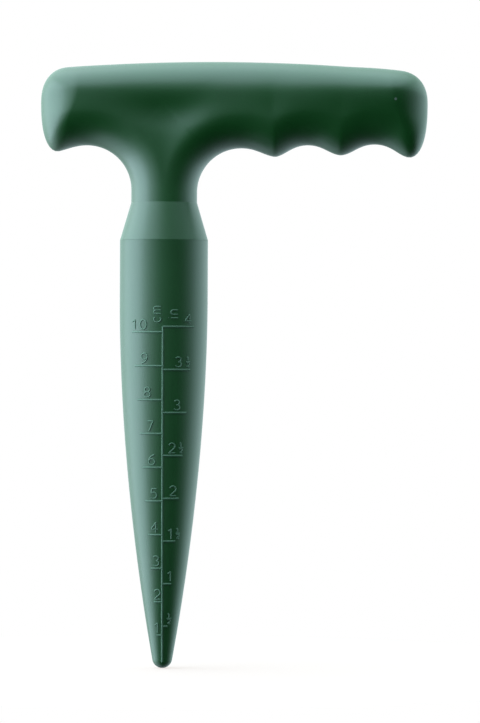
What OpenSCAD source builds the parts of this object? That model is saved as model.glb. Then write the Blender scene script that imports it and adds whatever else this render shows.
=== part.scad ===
// Garden dibber: a hollow pointed spike with a raised depth scale, pushed onto a hollow
// one-handed grip that is closed from a front and a rear half shell.
// The tip is the origin, +Z runs up the spike, +X along the long arm, and the scale faces -Y.

/* [Spike] */
// Diameter of the spike above its point
shank_d = 26.2; // [24:0.1:32]
// Height of the spike from its tip to its rim
spike_h = 127.4; // [122:0.1:160]
// Height at which the curved point ends and the straight shank starts
point_h = 109.5; // [80:0.5:110]
// Fullness of the point's curve, where 1 would be a straight cone
point_curve = 1.87; // [1.3:0.01:2.3]
// Radius of the rounded tip
tip_r = 3; // [2:0.1:4.5]
// Wall of the spike
spike_wall = 2.6; // [2:0.1:3.2]
// Height of the solid material at the tip
tip_solid_h = 26; // [20:0.5:45]

/* [Depth scale] */
// Spacing of the marks on the metric side
metric_step = 10; // [8:0.5:11]
// Number of marks on the metric side
metric_count = 10; // [4:1:11]
// Spacing of the marks on the inch side, half an inch
inch_step = 12.7; // [10:0.1:13.5]
// Number of marks on the inch side
inch_count = 8; // [4:1:9]
// Length of the topmost mark on each side
mark_l = 9; // [5:0.1:11]
// Length of the lowest mark on each side
mark_short_l = 1.6; // [1:0.1:3]
// Width of a mark
mark_w = 0.6; // [0.4:0.05:1]
// Height that a mark stands out from the spike
mark_raise = 0.25; // [0.2:0.05:0.6]

/* [Neck] */
// Height of the neck from the spike's rim to the underside of the short arm
neck_h = 28.2; // [27:0.1:45]
// Diameter of the neck at its narrowest
neck_d = 19.6; // [18:0.1:24]
// Height of the cone between the spike's rim and the neck
flare_h = 11.2; // [6:0.1:12]
// Radius of the fillets between the neck and the arms
neck_fillet = 13.2; // [9:0.1:14]
// Softness of the fork where the two fillets part
fork_soft = 15; // [3:0.1:18]

/* [Grip] */
// Reach of the short arm from the axis of the spike
short_reach = 36.8; // [36:0.1:60]
// Reach of the long arm from the axis of the spike
long_reach = 78.4; // [68:0.1:100]
// Height of the grip from the underside of the short arm to the crown
grip_h = 25; // [22:0.1:32]
// Depth of the grip from front to rear
grip_depth = 19.6; // [18:0.1:26]
// Height of the upper roll of the grip
top_h = 17.8; // [15:0.1:22]
// Softness of the waist between the upper roll and the roll round the fingers
waist_soft = 5; // [2:0.1:6]
// Roundness of the upper roll, where 2 is an ellipse and less is crisper
top_edge = 1.8; // [1.5:0.05:2.2]
// Roundness of the roll round the fingers and of the ends seen from above, where 2 is an ellipse
roll_edge = 1.75; // [1.6:0.05:2.2]
// Radius of the arch along the top
crown_r = 580; // [350:5:2000]
// Distance of the crown from the axis of the spike
crown_x = 16.5; // [0:0.5:35]
// Length of the rounding at the upper ends
end_round_top = 8.2; // [5:0.1:11]
// Length of the rounding at the lower ends
end_round_low = 5.8; // [4.5:0.1:8]
// Squareness of the ends, where 2 is an ellipse
end_square = 2.4; // [2:0.05:3]
// Length of the rounding of the ends seen from above, as a multiple of that seen from the front
end_plan = 1.4; // [1:0.05:1.8]
// Number of finger hollows under the long arm
finger_count = 3; // [2:1:4]
// Radius of the finger hollows beyond the first, which the fillet of the neck forms
finger_r = 10.4; // [9:0.1:16]
// Height of the ridges between the finger hollows
finger_depth = 3.2; // [1:0.1:4]
// Drop of the first finger hollow below the underside of the short arm
finger_drop = 0.7; // [0:0.1:2]
// Rise of the underside from the first finger hollow to the last
finger_rise = 1.3; // [0:0.1:3]
// Depth of the roll round the fingers at the far end, from front to rear
finger_end_depth = 14.4; // [13:0.1:24]
// Drop of the lip at the end of the long arm below the ridges
long_lip = 0.6; // [0:0.1:2]
// Depth of the lip at the end of the short arm
short_lip = 2.1; // [0.5:0.1:4]
// Softness of the undersides of the ridges and lips
crest_soft = 2.3; // [0.8:0.1:4]
// Softness of the ridges between the finger hollows, seen from the front
ridge_soft = 0.8; // [0.4:0.1:4]
// Wall of the grip
grip_wall = 2.4; // [2:0.1:3]

/* [Joints] */
// Length of the spigot that the grip pushes into the spike
spigot_l = 16; // [13:0.1:24]
// Wall of the spigot
spigot_wall = 2.4; // [1.8:0.1:2.8]
// Clearance between the spigot and the spike's bore, on the radius
spigot_fit = 0.1; // [0.05:0.01:0.2]
// Gap under the end of the spigot
spigot_end_gap = 0.8; // [0.4:0.1:2]
// Distance of the snap ring below the spike's rim
snap_drop = 9; // [5:0.1:10]
// Height that the snap ring stands out from the spigot
snap_raise = 0.45; // [0.2:0.05:0.6]
// Width of the snap ring at its root
snap_w = 2.4; // [1.6:0.1:3]
// Height of the tongue along the rim of the rear shell
lap_h = 1.2; // [0.8:0.1:1.4]
// Clearance round the tongue
lap_fit = 0.1; // [0.05:0.01:0.2]
// Number of pegs that join the shells
peg_count = 4; // [2:1:5]
// Diameter of a peg
peg_d = 3.2; // [2.4:0.1:4]
// Length of a peg beyond the rim
peg_l = 5; // [3:0.1:6]
// Clearance between a peg and its socket, on the radius
peg_fit = 0.05; // [0.02:0.01:0.15]
// Depth of a socket beyond the end of its peg
peg_end_gap = 0.5; // [0.2:0.1:1]
// Diameter of the bosses that carry the pegs and sockets
boss_d = 7; // [6.2:0.1:8]
// Distance of the outer bosses from the ends of the grip
boss_inset = 13; // [11:0.1:16]

/* [Hidden] */
$fn = 96;
plastic = [0.09, 0.27, 0.15];

// Spike profile
shank_r = shank_d / 2;
tip_lean = atan(point_curve * (shank_r - tip_r) / (point_h - tip_r));
tip_edge = [tip_r * cos(tip_lean), tip_r * (1 - sin(tip_lean))];
bore_r = shank_r - spike_wall;
socket_h = spigot_l + spigot_end_gap;
tip_steps = 5;
point_steps = 28;
floor_dip = 1.5;
scale_foot_h = 2;
root_share = 0.4;

// Grip frame
under_z = spike_h + neck_h;
long_under_z = under_z - finger_drop;
crown_z = under_z + grip_h;
top_z = crown_z - top_h / 2;
mid_z = under_z + grip_h / 2;
flare_z = spike_h + flare_h;
neck_r = neck_d / 2;
fillet_z = under_z - neck_fillet;
fillet_x = neck_r + neck_fillet;
fork_h = neck_fillet * 1.75;
finger_pitch = (long_reach - end_round_low - fillet_x) / (finger_count - 0.5);
half_depth = grip_depth / 2;
end_z = under_z + 0.42 * grip_h;
end_blend = grip_h / 2;
spigot_r = bore_r - spigot_fit;
spigot_root = 2;
slot_half = lap_h + 2 * lap_fit;
boss_span = short_reach + long_reach - 2 * boss_inset;
boss_xs = [for (i = [0 : peg_count - 1]) boss_inset - short_reach + boss_span * i / (peg_count - 1)];

// Resolution of the grip's surface
face_steps = 8;
fan_steps = 14;
fillet_steps = 6;
station_l = 2.2;
ray_max = 1.25 * norm([fillet_x, mid_z - fillet_z]);
ray_halvings = 17;

function clamped(v, low, high) = min(max(v, low), high);
function eased(t) = let (c = clamped(t, 0, 1)) c * c * (3 - 2 * c);
function steps(a, b, n) = [for (i = [1 : n]) a + (b - a) * i / n];
function backwards(list) = [for (i = [len(list) - 1 : -1 : 0]) list[i]];

// Radius of the spike's outside at height z above the tip's rounding
function spike_r(z) =
    shank_r - (shank_r - tip_edge[0]) * pow(max(point_h - z, 0) / (point_h - tip_edge[1]), point_curve);

// Heights of the rings along the point, from the tip's rounding to the shank
point_zs = concat([tip_edge[1]], steps(tip_edge[1], point_h, point_steps));
hollow_zs = [for (z = point_zs) if (z > tip_solid_h && z < spike_h - socket_h) z];

function spike_outside(grow) =
    concat([for (z = point_zs) [spike_r(z) + grow, z]], [[shank_r + grow, spike_h]]);

module spike_body() {
    tip_arc = [for (i = [0 : tip_steps - 1]) let (a = -90 + (90 - tip_lean) * i / tip_steps)
        [tip_r * cos(a), tip_r * (1 + sin(a))]];
    snap_z = spike_h - snap_drop;
    groove_r = spigot_r + snap_raise + spigot_fit;
    groove = [[bore_r, snap_z + snap_w / 2 + spigot_fit], [groove_r, snap_z + snap_w / 4],
        [groove_r, snap_z - snap_w / 4], [bore_r, snap_z - snap_w / 2 - spigot_fit]];
    hollow = [for (z = backwards(hollow_zs)) [min(bore_r, spike_r(z) - spike_wall), z]];
    hollow_floor = [[spike_r(tip_solid_h) - spike_wall, tip_solid_h], [0, tip_solid_h - floor_dip]];
    rotate_extrude()
        polygon(concat(tip_arc, spike_outside(0), [[bore_r, spike_h]], groove,
            [[bore_r, spike_h - socket_h]], hollow, hollow_floor));
}

// A thin skin round the spike that every mark is cut from
module mark_skin() {
    rotate_extrude()
        polygon(concat(spike_outside(mark_raise), backwards(spike_outside(-spike_wall * root_share))));
}

module side_marks(side, step, count) {
    for (i = [1 : count]) {
        l = mark_short_l + (mark_l - mark_short_l) * (i - 1) / (count - 1);
        translate([side > 0 ? 0 : -l, -shank_d, step * i - mark_w / 2])
            cube([l, shank_d, mark_w]);
    }
}

module depth_scale() {
    line_top = max(metric_step * metric_count, inch_step * inch_count) + mark_w / 2;
    intersection() {
        mark_skin();
        union() {
            translate([-mark_w / 2, -shank_d, scale_foot_h])
                cube([mark_w, shank_d, line_top - scale_foot_h]);
            side_marks(-1, metric_step, metric_count);
            side_marks(1, inch_step, inch_count);
        }
    }
}

module spike() {
    color(plastic) union() {
        spike_body();
        depth_scale();
    }
}

// Height of the arched top at x
function crown_at(x) = crown_z - pow(x - crown_x, 2) / (2 * crown_r);

// The smaller of two values, rounded where they are closer than k
function soft_min(a, b, k) = min(a, b) - pow(max(k - abs(a - b), 0), 2) / (4 * k);

// Radius of the neck at height z, with or without the cone above the spike's rim
function neck_at(z, flared) =
    neck_r + (flared ? (shank_r - neck_r) * clamped((flare_z - z) / flare_h, 0, 1) : 0);

// Depth inside one side of the neck and its fillet, which starts at height low_z
function side_depth(x, z, low_z, flared) =
    z < low_z ? neck_at(z, flared) - x : norm([x - fillet_x, z - low_z]) - neck_fillet;

// Rise of the n-th finger hollow above the first
function finger_lift(n) = let (t = n / (finger_count - 1)) finger_rise * t * (2 - t);

// Depth inside the round cut of the n-th finger hollow
function cut_depth(x, z, n) =
    let (r = n == 0 ? neck_fillet : finger_r)
    norm([x - fillet_x - finger_pitch * n, z - long_under_z - finger_lift(n) + r]) - r;

// Depth under the long arm: finger cuts into a flat underside that ends in a lip
function long_arm_depth(x, z) =
    let (
        n = (x - fillet_x) / finger_pitch,
        i = clamped(floor(n), 0, finger_count - 2),
        cuts = soft_min(cut_depth(x, z, i), cut_depth(x, z, i + 1), ridge_soft),
        lip = long_lip * eased(2 * (n - finger_count + 1)),
        flat_z = long_under_z + finger_lift(min(n, finger_count - 0.5)) - finger_depth - lip
    )
    soft_min(cuts, z - flat_z, crest_soft);

// Depth of a point of the middle plane inside the outline of the neck and of the arms' undersides
function outline_depth(x, z, flared) =
    let (short_side = side_depth(-x, z, fillet_z, flared))
    x > fillet_x ? long_arm_depth(x, z)
    : x < -fillet_x ? soft_min(short_side, z - under_z + short_lip, crest_soft)
    : soft_min(side_depth(x, z, fillet_z - finger_drop, flared), short_side,
        1e-6 + fork_soft * eased((z - fillet_z) / fork_h));

// Distance outside an oval with half axes m and n, negative inside
function oval_gap(a, b, m, n, power) =
    let (size = pow(pow(abs(a) / m, power) + pow(abs(b) / n, power), 1 / power))
    norm([a, b]) * (1 - 1 / max(size, 1e-6));

// Distance outside the section of the grip: an upper roll, and a roll that follows the outline below
function section_gap(x, y, z, inset) =
    let (
        flared = inset == 0,
        up = z - top_z,
        top_up = up > 0 ? crown_at(x) - top_z : top_h / 2,
        top = oval_gap(y, up, half_depth - inset, top_up - inset, top_edge),
        neck = neck_at(z, flared),
        out = neck - outline_depth(x, z, flared),
        far = abs(x) - fillet_x,
        deep = neck + (finger_end_depth / 2 - neck_r) * eased(far / (long_reach - fillet_x)),
        power = 2 + (roll_edge - 2) * eased((z - fillet_z) / neck_fillet),
        roll = oval_gap(y, out, deep - inset, (out > 0 ? neck : neck_r) - inset, power)
    )
    soft_min(top, roll, waist_soft);

// What is left of the section at x, where it shrinks towards an end over a length l
function end_share(x, l, inset, power) =
    let (past = max(0, x - long_reach + l, l - short_reach - x) / (l - inset))
    past < 1 ? pow(1 - pow(past, power), 1 / power) : 0;

// Distance outside the whole grip, or outside its hollow; towards an end the section shrinks to the spine
function grip_gap(p, inset) =
    let (
        l = end_round_low + (end_round_top - end_round_low) * eased((p[2] - end_z) / end_blend + 0.5),
        tall = end_share(p[0], l, inset, end_square),
        deep = end_share(p[0], l * end_plan, inset, roll_edge)
    )
    min(tall, deep) < 0.001 ? 1 : section_gap(p[0], p[1] / deep, mid_z + (p[2] - mid_z) / tall, inset);

// Length of the ray from q along a direction to the surface of the grip, or of its hollow
function ray_l(q, along, inset, low = 0, high = ray_max, n = ray_halvings) =
    n == 0 ? (low + high) / 2
    : let (mid = (low + high) / 2)
        grip_gap(q + mid * along, inset) < 0 ? ray_l(q, along, inset, mid, high, n - 1)
        : ray_l(q, along, inset, low, mid, n - 1);

// Depth of the boss at x, whose end lies in the middle of the wall
function boss_depth(x) = ray_l([x, 0, mid_z], [0, 1, 0], grip_wall / 2);

// Ribs: each has a root on the spine of the grip and an in-plane direction, in order round the outline
function toward(q, p) = [q, (p - q) / norm(p - q)];
function fillet_point(a) = [fillet_x - neck_fillet * cos(a), fillet_z + neck_fillet * sin(a)];
function arm_spine(reach, inset) = max(fillet_x + 1, reach - inset);
spine_inset = end_round_top + end_blend / 4;
long_spine = arm_spine(long_reach, spine_inset);
short_spine = arm_spine(short_reach, spine_inset);
neck_zs = concat([spike_h], steps(spike_h, flare_z, 3), steps(flare_z, fillet_z, 2));
function arm_xs(spine_end) = steps(fillet_x, spine_end, ceil((spine_end - fillet_x) / station_l));
inner_xs = steps(0, fillet_x, fillet_steps);

// Ribs of one side, from the spike's rim up the neck, along the underside and round the end
function side_ribs(spine_end) = concat(
    [for (z = neck_zs) [[0, z], [1, 0]]],
    [for (i = [1 : fillet_steps])
        toward([0, fillet_z + (mid_z - fillet_z) * i / fillet_steps], fillet_point(45 * i / fillet_steps))],
    [for (i = [1 : fillet_steps]) toward([inner_xs[i - 1], mid_z], fillet_point(45 + 45 * i / fillet_steps))],
    [for (x = arm_xs(spine_end)) [[x, mid_z], [0, -1]]],
    [for (i = [1 : fan_steps - 1]) let (a = -90 + 180 * i / fan_steps) [[spine_end, mid_z], [cos(a), sin(a)]]]);
function flipped(ribs) = [for (r = ribs) [[-r[0][0], r[0][1]], [-r[1][0], r[1][1]]]];
top_xs = concat(
    backwards(arm_xs(long_spine)), backwards(inner_xs), [0],
    -inner_xs, -arm_xs(short_spine));
ribs = concat(
    side_ribs(long_spine), [for (x = top_xs) [[x, mid_z], [0, 1]]],
    backwards(flipped(side_ribs(short_spine))));

function rib_point(rib, l, y) = [rib[0][0] + l * rib[1][0], y, rib[0][1] + l * rib[1][1]];
function rib_ray(rib, angle, side) =
    [cos(angle) * rib[1][0], side * sin(angle), cos(angle) * rib[1][1]];
function surface_point(rib, angle, side, inset) =
    let (root = [rib[0][0], 0, rib[0][1]], along = rib_ray(rib, angle, side))
    root + ray_l(root, along, inset) * along;

// The closed section of a shell along one rib: outside, stepped rim, inside
function rib_section(rib, side) =
    let (
        angles = [for (i = [0 : face_steps]) 90 * i / face_steps],
        root = [rib[0][0], 0, rib[0][1]],
        flat = rib_ray(rib, 0, side),
        out_l = ray_l(root, flat, 0),
        in_l = ray_l(root, flat, grip_wall),
        lap_l = (in_l + out_l) / 2,
        rim = side < 0
            ? [rib_point(rib, lap_l + lap_fit, 0), rib_point(rib, lap_l + lap_fit, -lap_h - lap_fit),
                rib_point(rib, in_l, -lap_h - lap_fit)]
            : [rib_point(rib, lap_l, 0), rib_point(rib, lap_l, -lap_h),
                rib_point(rib, in_l, -lap_h), rib_point(rib, in_l, 0)]
    )
    concat(
        [for (a = backwards(angles)) surface_point(rib, a, side, 0)], rim,
        [for (i = [1 : face_steps]) surface_point(rib, angles[i], side, grip_wall)]);

function turned(faces, side) = side < 0 ? faces : [for (f = faces) backwards(f)];

// Faces that close a shell at the spike's rim, each convex, for a section whose points start at index s
function cap_faces(s, n, side) = concat(
    [for (k = [0 : face_steps - 2]) [s + k, s + k + 1, s + n - 2 - k, s + n - 1 - k]],
    [for (f = side < 0 ? [[-1, 0, 1, 2], [-1, 2, 3, 4]] : [[-1, 0, 1, 4, 5], [1, 2, 3, 4]])
        [for (k = f) s + face_steps + k]]);

module shell_skin(side) {
    sections = [for (r = ribs) rib_section(r, side)];
    n = len(sections[0]);
    last = (len(ribs) - 1) * n;
    walls = [for (i = [0 : len(ribs) - 2], k = [0 : n - 2], f = [0, 1])
        f == 0 ? [i * n + k, (i + 1) * n + k, (i + 1) * n + k + 1]
        : [i * n + k, (i + 1) * n + k + 1, i * n + k + 1]];
    faces = concat(walls, cap_faces(0, n, side), [for (f = cap_faces(last, n, side)) backwards(f)]);
    polyhedron(points = [for (s = sections) each s], faces = turned(faces, side));
}

// One side of the split spigot: slots at the parting plane let the snap ring give way
module half_spigot(side) {
    snap_z = spike_h - snap_drop;
    foot_z = spike_h - spigot_l;
    root_z = spike_h + spigot_root;
    ring = [[spigot_r, snap_z - snap_w / 2], [spigot_r + snap_raise, snap_z - snap_w / 4],
        [spigot_r + snap_raise, snap_z + snap_w / 4], [spigot_r, snap_z + snap_w / 2]];
    intersection() {
        rotate_extrude()
            polygon(concat([[spigot_r - spigot_wall, foot_z], [spigot_r, foot_z]], ring,
                [[spigot_r, root_z], [spigot_r - spigot_wall, root_z]]));
        translate([-shank_r, side < 0 ? -shank_r - slot_half : slot_half, foot_z])
            cube([shank_d, shank_r, root_z - foot_z]);
    }
}

// A round post along Y, between two depths
module post(x, d, from, to) {
    translate([x, from, mid_z])
        rotate([from > to ? 90 : -90, 0, 0])
            cylinder(h = abs(to - from), d = d);
}

module grip_front_shell() {
    color(plastic) union() {
        shell_skin(-1);
        half_spigot(-1);
        for (x = boss_xs) {
            difference() {
                post(x, boss_d, 0, -boss_depth(x));
                post(x, peg_d + 2 * peg_fit, peg_l, -peg_l - peg_end_gap);
            }
        }
    }
}

module grip_rear_shell() {
    color(plastic) union() {
        shell_skin(1);
        half_spigot(1);
        for (x = boss_xs) {
            post(x, boss_d, 0, boss_depth(x));
            post(x, peg_d, boss_depth(x) / 2, -peg_l);
        }
    }
}

spike();
grip_front_shell();
grip_rear_shell();
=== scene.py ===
# %% [markdown]
# # A garden dibber
#
# A dibber makes planting holes. This one is moulded in satin dark green plastic: a pointed spike with a
# raised depth scale, and an offset T grip with finger hollows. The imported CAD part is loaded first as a
# fixed frame, so every piece below is made at its real place, in metres, and nothing has to be fitted.

# %% Load the frame
import math

import bmesh
import bpy
import numpy as np
from mathutils import Matrix, Vector


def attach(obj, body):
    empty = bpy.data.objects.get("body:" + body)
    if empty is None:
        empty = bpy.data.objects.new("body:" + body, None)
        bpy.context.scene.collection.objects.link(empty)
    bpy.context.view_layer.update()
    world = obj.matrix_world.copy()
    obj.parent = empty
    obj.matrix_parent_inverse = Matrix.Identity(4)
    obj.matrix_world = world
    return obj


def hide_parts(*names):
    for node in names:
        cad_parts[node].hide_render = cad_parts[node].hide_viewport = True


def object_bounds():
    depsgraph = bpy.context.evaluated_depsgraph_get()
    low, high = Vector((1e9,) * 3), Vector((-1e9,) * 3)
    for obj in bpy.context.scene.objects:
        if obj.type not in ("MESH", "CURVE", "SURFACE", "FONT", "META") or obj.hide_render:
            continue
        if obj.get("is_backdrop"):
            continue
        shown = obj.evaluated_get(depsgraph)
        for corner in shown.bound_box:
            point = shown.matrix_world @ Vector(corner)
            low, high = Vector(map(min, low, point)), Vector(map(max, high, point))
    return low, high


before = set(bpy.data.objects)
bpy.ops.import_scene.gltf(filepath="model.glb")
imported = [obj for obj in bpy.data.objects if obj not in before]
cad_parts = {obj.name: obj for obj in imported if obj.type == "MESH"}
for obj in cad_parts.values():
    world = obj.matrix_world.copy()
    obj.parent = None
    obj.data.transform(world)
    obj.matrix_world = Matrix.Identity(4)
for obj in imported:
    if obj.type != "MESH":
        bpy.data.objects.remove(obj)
cad_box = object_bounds()
scene = bpy.context.scene
MM = 0.001
print("solids:", sorted(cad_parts))
print("CAD box:", [[round(v, 4) for v in corner] for corner in cad_box])

# %% [markdown]
# ## Camera
#
# The photograph is taken square from the front with a long lens. The marks of the depth scale are real
# centimetres, so counting pixels between them gives the width of the picture in the plane of the axis.
# A camera far away with a narrow view then gives the same picture. The object leans a quarter of a degree
# to the right, which is put into the camera's roll so that the object itself stays upright in its frame.

# %% Set up the camera
PICTURE_H = 723
SENSOR_H = 36
PIXELS_PER_MM = 3.356
CAMERA_AT = (0.0228, -1.2, 0.0914)
LEAN = math.radians(0.25)

camera = bpy.data.objects.new("photo_camera", bpy.data.cameras.new("photo_camera"))
camera.data.sensor_fit = "VERTICAL"
camera.data.sensor_height = SENSOR_H
camera.data.lens = SENSOR_H * -CAMERA_AT[1] * PIXELS_PER_MM / (PICTURE_H * MM)
camera.matrix_world = (
    Matrix.Translation(CAMERA_AT) @ Matrix.Rotation(math.radians(90), 4, "X") @ Matrix.Rotation(LEAN, 4, "Z")
)
scene.collection.objects.link(camera)
scene.camera = camera
scene.view_settings.view_transform = "Standard"
print("lens:", round(camera.data.lens, 1), "mm")

# %% [markdown]
# ## Small helpers for node trees
#
# Every tree below, for geometry or for shading, is a row of nodes with values or links in their inputs.
# One helper adds a node and fills its inputs, and another writes sums as Math nodes, so a tree reads
# almost like a formula.


# %% Add nodes and sums
def add_node(tree, kind, values=None, **settings):
    """Add a node, set its options, then link or fill its inputs."""
    made = tree.nodes.new(kind)
    for name, value in settings.items():
        setattr(made, name, value)
    for slot, value in (values or {}).items():
        if isinstance(value, bpy.types.NodeSocket):
            tree.links.new(value, made.inputs[slot])
        else:
            made.inputs[slot].default_value = value
    return made


def calc(tree, operation, *terms):
    """The result of a Math node on numbers or sockets."""
    return add_node(tree, "ShaderNodeMath", dict(enumerate(terms)), operation=operation).outputs[0]


def new_group(name, kind, inputs, outputs):
    """A node group with named sockets. Returns the tree, its input sockets and its output node."""
    tree = bpy.data.node_groups.new(name, kind)
    for label, (socket, value) in inputs.items():
        made = tree.interface.new_socket(label, in_out="INPUT", socket_type="NodeSocket" + socket)
        if value is not None:
            made.default_value = value
    for label, socket in outputs.items():
        tree.interface.new_socket(label, in_out="OUTPUT", socket_type="NodeSocket" + socket)
    given = tree.nodes.new("NodeGroupInput").outputs
    result = tree.nodes.new("NodeGroupOutput")
    return tree, given, result


def place_group(tree, group, values):
    """Put a group into a tree and return its output sockets."""
    kind = "GeometryNodeGroup" if tree.bl_idname == "GeometryNodeTree" else "ShaderNodeGroup"
    return add_node(tree, kind, values, node_tree=group).outputs


# %% [markdown]
# ## Studio
#
# The picture is cut out on white, and its light can be read from the plastic: a broad pale sheen on the
# left of every round form, a weaker one on the right, a pale top, and a dark front, because nothing bright
# stood beside the camera. A soft box gives the core of each sheen. Its level is its brightness as a
# reflection shows it, which for an area lamp is its power shared over its area and over pi.

# %% Soft boxes
COOL, LEAFY = (0.78, 0.91, 1.0), (0.72, 0.95, 0.95)


def soft_box(name, place, target, size, level, colour):
    lamp = bpy.data.lights.new(name, "AREA")
    lamp.shape = "RECTANGLE"
    lamp.size, lamp.size_y = size
    lamp.energy = level * math.pi * size[0] * size[1]
    lamp.color = colour
    holder = bpy.data.objects.new(name, lamp)
    holder.location = place
    holder.rotation_euler = (Vector(place) - Vector(target)).to_track_quat("Z", "Y").to_euler()
    holder.visible_camera = False
    scene.collection.objects.link(holder)


soft_box("left_box", (-0.8, 0, 0.25), (0, 0, 0.25), (1.0, 1.1), 2.2, COOL)
soft_box("right_box", (0.8, 0.36, 0.2), (0, 0, 0.2), (0.8, 1.1), 0.5, LEAFY)
soft_box("top_box", (-0.05, -0.1, 0.95), (-0.05, -0.1, 0), (1.4, 1.3), 1.1, COOL)

# %% [markdown]
# ## White ground and the soft edge of the light
#
# Lamps have hard edges, but the sheen on the plastic fades over a quarter turn. So the world carries wide
# lobes round the boxes, each a smooth hill over the angle to its axis, and one behind for the backdrop.
# To the camera the world is plain white, which costs the object no extra light. The floor is a sheet under
# the object: it is matt and takes the shadow, and a glow that only the camera sees lifts it to white.

# %% A lobe of light as a group
LOBE_INPUTS = {
    "Direction": ("Vector", None),
    "Axis": ("Vector", None),
    "Edge": ("Float", 0.2),
    "Level": ("Float", 1.0),
}
lobe, given, result = new_group("soft_lobe", "ShaderNodeTree", LOBE_INPUTS, {"Light": "Float"})
facing = add_node(
    lobe,
    "ShaderNodeVectorMath",
    {0: given["Direction"], 1: given["Axis"]},
    operation="DOT_PRODUCT",
)
hill = add_node(
    lobe,
    "ShaderNodeMapRange",
    {0: facing.outputs["Value"], 1: given["Edge"], 2: 1.0, 3: 0.0, 4: given["Level"]},
    interpolation_type="SMOOTHSTEP",
)
lobe.links.new(hill.outputs[0], result.inputs["Light"])
print(lobe.name, "nodes:", len(lobe.nodes))


def bearing(turn, lift):
    """Direction from the object, as a turn from the camera to the right and a lift, in degrees."""
    turn, lift = math.radians(turn), math.radians(lift)
    return math.sin(turn) * math.cos(lift), -math.cos(turn) * math.cos(lift), math.sin(lift)


# %% World
# Turn and lift of the axis and half width, in degrees, then level and colour
LOBES = (
    (-96, 27, 90, 2.5, COOL),
    (-22, 45, 85, 0.26, COOL),
    (140, 27, 96, 1.4, LEAFY),
    (-108, -48, 40, 1.3, COOL),
    (163, -33, 62, 0.55, COOL),
)
world = bpy.data.worlds.new("white_studio")
world.use_nodes = True
scene.world = world
tree = world.node_tree
tree.nodes.clear()
direction = add_node(tree, "ShaderNodeTexCoord").outputs["Generated"]
studio = add_node(tree, "ShaderNodeBackground", {"Strength": 0.0}).outputs[0]
for turn, lift, width, level, colour in LOBES:
    shape = {
        "Direction": direction,
        "Axis": bearing(turn, lift),
        "Edge": math.cos(math.radians(width)),
        "Level": level,
    }
    light = place_group(tree, lobe, shape)["Light"]
    glow = add_node(tree, "ShaderNodeBackground", {"Color": (*colour, 1), "Strength": light})
    studio = add_node(tree, "ShaderNodeAddShader", {0: studio, 1: glow.outputs[0]}).outputs[0]
white = add_node(tree, "ShaderNodeBackground", {"Color": (1, 1, 1, 1), "Strength": 1.0})
camera_ray = add_node(tree, "ShaderNodeLightPath").outputs["Is Camera Ray"]
shown = add_node(tree, "ShaderNodeMixShader", {0: camera_ray, 1: studio, 2: white.outputs[0]})
add_node(tree, "ShaderNodeOutputWorld", {"Surface": shown.outputs[0]})
print("lobes in the world:", len(LOBES))

# %% Floor
FLOOR_R = 0.14
FLOOR_SIDES = 96
FLOOR_GLOW = (0.69, 0.62, 0.585, 1)
FLOOR_MATT = (0.2, 0.2, 0.2, 1)

turns = [math.tau * i / FLOOR_SIDES for i in range(FLOOR_SIDES)]
ring = [(FLOOR_R * math.cos(a), FLOOR_R * math.sin(a), 0) for a in turns]
floor_mesh = bpy.data.meshes.new("floor")
floor_mesh.from_pydata(ring, [], [range(FLOOR_SIDES)])
floor = bpy.data.objects.new("floor", floor_mesh)
floor.visible_glossy = False
scene.collection.objects.link(floor)
paper = bpy.data.materials.new("pale_floor")
paper.use_nodes = True
tree = paper.node_tree
tree.nodes.clear()
camera_ray = add_node(tree, "ShaderNodeLightPath").outputs["Is Camera Ray"]
glow = add_node(tree, "ShaderNodeEmission", {"Color": FLOOR_GLOW, "Strength": camera_ray})
matt = add_node(tree, "ShaderNodeBsdfDiffuse", {"Color": FLOOR_MATT})
both = add_node(tree, "ShaderNodeAddShader", {0: glow.outputs[0], 1: matt.outputs[0]})
add_node(tree, "ShaderNodeOutputMaterial", {"Surface": both.outputs[0]})
floor_mesh.materials.append(paper)
floor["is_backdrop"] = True
print("floor:", 2 * FLOOR_R, "m wide")

# %% [markdown]
# ## Plastic
#
# The finish reads as a fine spark-eroded texture: satin, a little uneven in gloss, with a few specks of
# dust and small scuffs. Two effects are used by every green material, so they are shader node groups: one
# gives the fine grain and the uneven gloss, the other the rare specks. Both read Object coordinates, so a
# pattern stays on the piece when it is exported.

# %% Grain as a shared group
CLOUD_SCALE = 90.0
GRAIN_SCALE = 2600.0
TONE_SWING = 0.25

grain, given, result = new_group(
    "moulded_grain",
    "ShaderNodeTree",
    {"Vector": ("Vector", None), "Roughness": ("Float", 0.45), "Unevenness": ("Float", 0.06)},
    {"Tone": "Float", "Roughness": "Float", "Height": "Float"},
)
here = given["Vector"]
cloudy = add_node(grain, "ShaderNodeTexNoise", {"Vector": here, "Scale": CLOUD_SCALE, "Detail": 3.0})
fine = add_node(grain, "ShaderNodeTexNoise", {"Vector": here, "Scale": GRAIN_SCALE, "Detail": 2.0})
drift = calc(grain, "SUBTRACT", cloudy.outputs[0], 0.5)
grain.links.new(calc(grain, "MULTIPLY_ADD", drift, TONE_SWING, 1.0), result.inputs["Tone"])
gloss = calc(grain, "MULTIPLY_ADD", drift, given["Unevenness"], given["Roughness"])
grain.links.new(gloss, result.inputs["Roughness"])
grain.links.new(fine.outputs[0], result.inputs["Height"])
print(grain.name, "nodes:", len(grain.nodes))

# %% Specks as a shared group
BARE_CELLS = 0.6

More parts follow.
